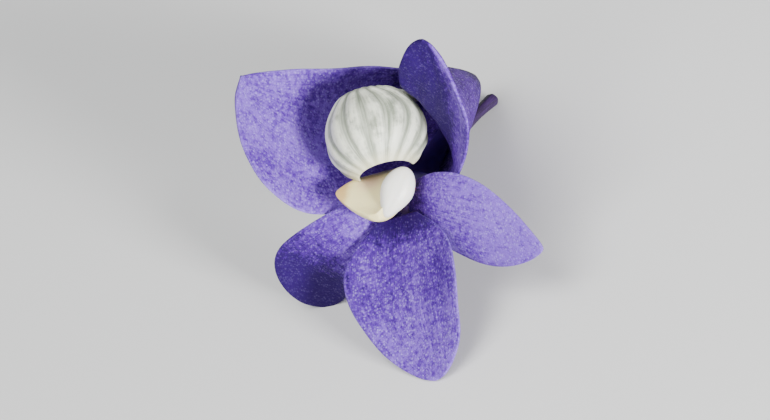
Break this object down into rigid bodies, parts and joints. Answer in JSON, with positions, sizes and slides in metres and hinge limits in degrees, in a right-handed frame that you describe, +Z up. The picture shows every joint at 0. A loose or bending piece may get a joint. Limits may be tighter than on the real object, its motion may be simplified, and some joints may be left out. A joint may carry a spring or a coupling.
{
  "type": "orchid flower",
  "caption": "Single orchid flower on its short stalk: two broad side sepals forming a spur behind, petals, odd sepal, hooded ribbed lip and winged column",
  "frame": {"origin": "on the surface that the flower rests on, under the middle of its outline seen from above", "axes": "+Z up, -Y the way the flower's face looks, +Y back towards the end of the spur and the stalk, +X to the right of someone looking at its face"},
  "size_m": [0.0224, 0.0262, 0.0173],
  "materials": {
    "violet_petal": "soft sparkling blue-violet petal, finely speckled, veined lengthwise",
    "lip": "waxy greenish white, ribbed",
    "column": "waxy cream white, with tan wing tips",
    "stalk": "smooth dark violet"
  },
  "bodies": {
    "root": {"pedicel_and_ovary": "stalk", "odd_sepal": "violet_petal", "side_sepal_right": "violet_petal", "side_sepal_left": "violet_petal", "petal_right": "violet_petal", "petal_left": "violet_petal", "lip": "lip", "column": "column", "anther_cap": "column"}
  },
  "joints": []
}
